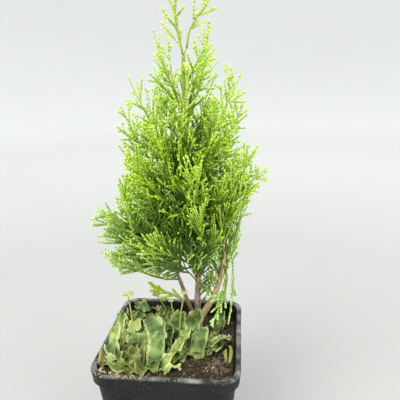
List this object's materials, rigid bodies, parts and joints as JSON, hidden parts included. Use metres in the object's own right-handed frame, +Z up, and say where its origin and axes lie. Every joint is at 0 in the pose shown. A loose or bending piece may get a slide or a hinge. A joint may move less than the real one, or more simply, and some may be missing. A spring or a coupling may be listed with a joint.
{
  "type": "potted thuja",
  "caption": "Young feathery conifer in a square tapered nursery pot filled with soil, with liverwort over the soil, to stand outdoors or on a bench.",
  "frame": {"origin": "middle of the pot's flat underside", "axes": "+Z up along the plant; +X to the plant's right as pictured; +Y to the back, away from the viewer"},
  "size_m": [0.1139, 0.1121, 0.3278],
  "materials": {
    "plastic": "dark grey, moulded, dusty",
    "soil": "moist crumbly potting soil with bark fibres",
    "bark": "grey-brown flaking bark",
    "pale_bark": "tan young bark",
    "foliage": "fresh yellow-green scale leaves",
    "shaded_foliage": "blue-green scale leaves",
    "liverwort": "smooth, moist, olive green"
  },
  "bodies": {
    "root": {"pot": "plastic", "root_ball": "soil", "liverwort": "liverwort", "trunk": "bark", "right_stem": "pale_bark", "left_stem": "bark", "bough_skirt_3": "bark", "bough_skirt_5": "bark", "bough_belly_1": "bark", "bough_belly_3": "bark", "bough_belly_5": "bark", "bough_waist_1": "bark", "bough_waist_3": "bark", "bough_waist_5": "bark", "foliage_low_1": "shaded_foliage", "foliage_low_2": "shaded_foliage", "foliage_low_3": "shaded_foliage", "foliage_low_4": "shaded_foliage", "foliage_low_5": "shaded_foliage", "foliage_skirt_1": "foliage", "foliage_skirt_2": "foliage", "foliage_skirt_3": "foliage", "foliage_skirt_4": "foliage", "foliage_skirt_5": "foliage", "foliage_skirt_6": "foliage", "foliage_belly_1": "foliage", "foliage_belly_2": "foliage", "foliage_belly_3": "foliage", "foliage_belly_4": "foliage", "foliage_belly_5": "foliage", "foliage_belly_6": "foliage", "foliage_waist_1": "foliage", "foliage_waist_2": "foliage", "foliage_waist_3": "foliage", "foliage_waist_4": "foliage", "foliage_waist_5": "foliage", "foliage_waist_6": "foliage", "foliage_shoulder_1": "foliage", "foliage_shoulder_2": "foliage", "foliage_shoulder_3": "foliage", "foliage_shoulder_4": "foliage", "foliage_shoulder_5": "foliage", "foliage_shoulder_6": "foliage", "foliage_neck_1": "foliage", "foliage_neck_2": "foliage", "foliage_neck_3": "foliage", "foliage_neck_4": "foliage", "foliage_neck_5": "foliage", "foliage_top_1": "foliage", "foliage_top_2": "foliage", "foliage_top_3": "foliage", "foliage_top_4": "foliage", "foliage_leader_left": "foliage", "foliage_leader_right": "foliage", "foliage_right_stem": "foliage", "foliage_left_stem": "foliage", "foliage_droop_outer": "foliage", "foliage_droop_inner": "foliage", "foliage_low_left": "shaded_foliage"}
  },
  "joints": []
}
